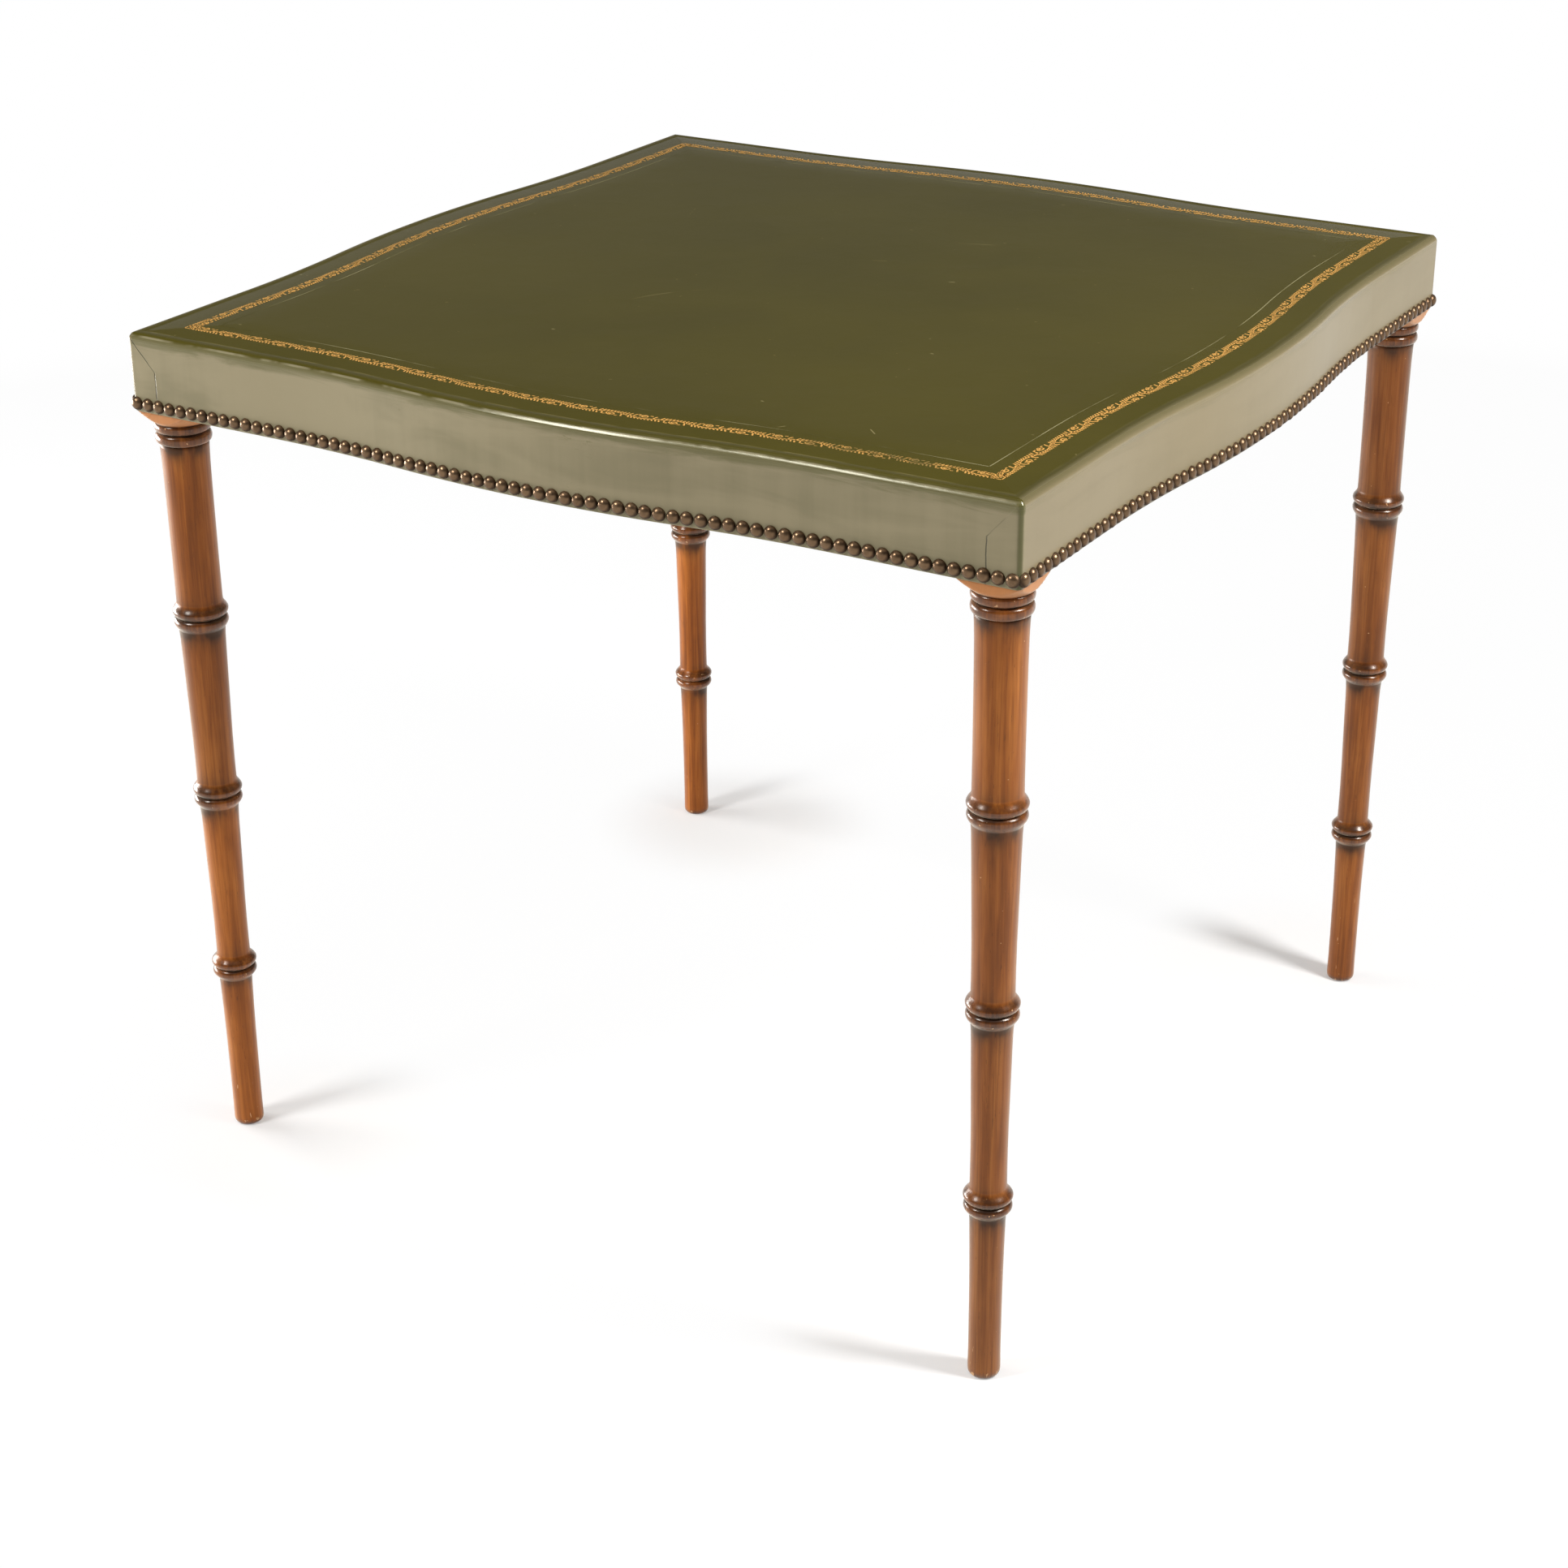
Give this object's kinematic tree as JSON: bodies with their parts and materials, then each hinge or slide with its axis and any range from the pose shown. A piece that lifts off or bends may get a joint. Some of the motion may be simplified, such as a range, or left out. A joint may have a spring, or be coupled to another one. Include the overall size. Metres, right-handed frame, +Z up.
{
  "type": "card table",
  "caption": "Square card table with gently bowed sides: a leather-covered top and apron edged with domed nails, on turned wooden legs ringed like bamboo.",
  "frame": {"origin": "on the floor, under the middle of the top", "axes": "+Z up; -Y is the front, the side towards the left in the picture; +X is its right"},
  "size_m": [0.833, 0.833, 0.73],
  "materials": {
    "leather": "aged dark green hide, satin, with a gold-tooled border",
    "leg_wood": "brown stained and polished, worn on the rings",
    "frame_wood": "bare softwood",
    "panel_plywood": "bare plywood",
    "nail_brass": "antiqued, dark between the heads",
    "screw_steel": "dull"
  },
  "bodies": {
    "root": {"brace_screws": "screw_steel", "cleat_back": "frame_wood", "cleat_front": "frame_wood", "cleat_left": "frame_wood", "cleat_right": "frame_wood", "cleat_screws": "screw_steel", "corner_brace_back_left": "frame_wood", "corner_brace_back_right": "frame_wood", "corner_brace_front_left": "frame_wood", "corner_brace_front_right": "frame_wood", "leather_cover": "leather", "leg_back_left": "leg_wood", "leg_back_right": "leg_wood", "leg_front_left": "leg_wood", "leg_front_right": "leg_wood", "lipping_back": "frame_wood", "lipping_front": "frame_wood", "lipping_left": "frame_wood", "lipping_right": "frame_wood", "nails_back": "nail_brass", "nails_front": "nail_brass", "nails_left": "nail_brass", "nails_right": "nail_brass", "panel_screws": "screw_steel", "rail_back": "frame_wood", "rail_front": "frame_wood", "rail_left": "frame_wood", "rail_right": "frame_wood", "top_panel": "panel_plywood"}
  },
  "joints": []
}
